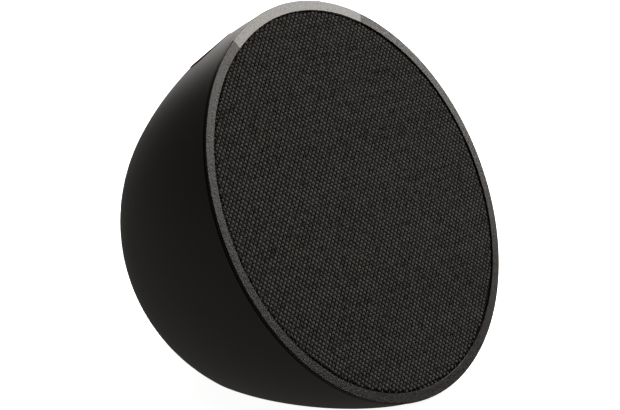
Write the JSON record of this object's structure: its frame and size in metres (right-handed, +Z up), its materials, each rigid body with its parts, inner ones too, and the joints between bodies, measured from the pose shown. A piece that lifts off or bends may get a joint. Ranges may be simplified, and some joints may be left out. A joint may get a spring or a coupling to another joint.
{
  "type": "smart home hub",
  "caption": "Dome-backed smart home hub with a tilted round fabric face, a trim ring with a light bar, round top buttons, a rear power inlet and a rubber foot.",
  "frame": {"origin": "centre of the rubber foot, on the surface that the hub stands on", "axes": "+Z up, -Y towards the fabric face, +X to the hub's left as it looks out"},
  "size_m": [0.099, 0.0826, 0.0905],
  "materials": {
    "shell_black": "fine-grained matt black",
    "ring_charcoal": "satin charcoal",
    "light_frosted": "frosted translucent grey",
    "fabric_charcoal": "plain woven charcoal",
    "grille_black": "matt black",
    "button_black": "satin black",
    "frame_grey": "matt dark grey",
    "rubber_black": "soft matt rubber",
    "foam_black": "closed-cell foam",
    "board_green": "solder-mask green laminate",
    "chip_black": "moulded epoxy",
    "switch_red": "moulded red",
    "switch_steel": "plated steel",
    "mic_brass": "gold-plated can",
    "led_white": "clear encapsulation",
    "basket_steel": "black coated steel",
    "cone_paper": "coated paper",
    "spider_cloth": "resin-dipped cloth",
    "coil_copper": "enamelled copper winding",
    "steel_plain": "zinc-plated steel",
    "magnet_ferrite": "ferrite",
    "can_tin": "tin-plated steel",
    "spreader_alu": "milled",
    "pad_blue": "silicone gap pad",
    "connector_ivory": "moulded",
    "polyimide": "amber film",
    "lead_red": "insulated wire",
    "jack_black": "moulded",
    "pin_nickel": "nickel plate"
  },
  "bodies": {
    "casing": {"rear_shell": "shell_black", "trim_ring": "ring_charcoal", "light_bar": "light_frosted", "grille_fabric": "fabric_charcoal", "grille_frame": "grille_black", "switch_bodies": "switch_steel", "button_boards": "board_green", "button_bracket": "frame_grey", "bracket_screws": "steel_plain", "microphones": "mic_brass", "microphone_seals": "rubber_black", "led_board": "board_green", "light_leds": "led_white", "front_baffle": "frame_grey", "baffle_screws": "steel_plain", "driver_gasket": "foam_black", "driver_basket": "basket_steel", "driver_surround": "rubber_black", "driver_spider": "spider_cloth", "top_plate": "steel_plain", "magnet": "magnet_ferrite", "yoke": "steel_plain", "driver_screws": "steel_plain", "speaker_leads": "lead_red", "acoustic_chamber": "frame_grey", "chamber_seal": "foam_black", "chamber_screws": "steel_plain", "main_board": "board_green", "board_screws": "steel_plain", "shield_cans": "can_tin", "processor_chip": "chip_black", "memory_chip": "chip_black", "thermal_pad": "pad_blue", "heat_spreader": "spreader_alu", "board_connectors": "connector_ivory", "wifi_antennas": "polyimide", "ribbon_cable": "polyimide", "power_jack": "jack_black", "jack_pin": "pin_nickel", "power_leads": "lead_red", "base_cover": "grille_black", "base_screws": "steel_plain", "foot_pad": "rubber_black"},
    "volume_down": {"volume_down_button": "button_black", "volume_down_plunger": "switch_red"},
    "mute": {"mute_button": "button_black", "mute_plunger": "switch_red"},
    "volume_up": {"volume_up_button": "button_black", "volume_up_plunger": "switch_red"},
    "cone": {"driver_cone": "cone_paper", "dust_cap": "cone_paper", "voice_coil": "coil_copper"}
  },
  "joints": [
    {"name": "volume_down_press", "type": "slide", "parent": "casing", "child": "volume_down", "axis": [0.3197, -0.5699, -0.757], "range_m": [0, 0.0004], "stiffness_N_per_m": 400, "springref_m": -0.002},
    {"name": "mute_press", "type": "slide", "parent": "casing", "child": "mute", "axis": [0, -0.5929, -0.8053], "range_m": [0, 0.0004], "stiffness_N_per_m": 400, "springref_m": -0.002},
    {"name": "volume_up_press", "type": "slide", "parent": "casing", "child": "volume_up", "axis": [-0.3197, -0.5699, -0.757], "range_m": [0, 0.0004], "stiffness_N_per_m": 400, "springref_m": -0.002},
    {"name": "cone_stroke", "type": "slide", "parent": "casing", "child": "cone", "axis": [0, -0.9026, 0.4305], "range_m": [-0.0015, 0.0015], "stiffness_N_per_m": 1500, "deforming": ["driver_surround", "driver_spider"]}
  ]
}
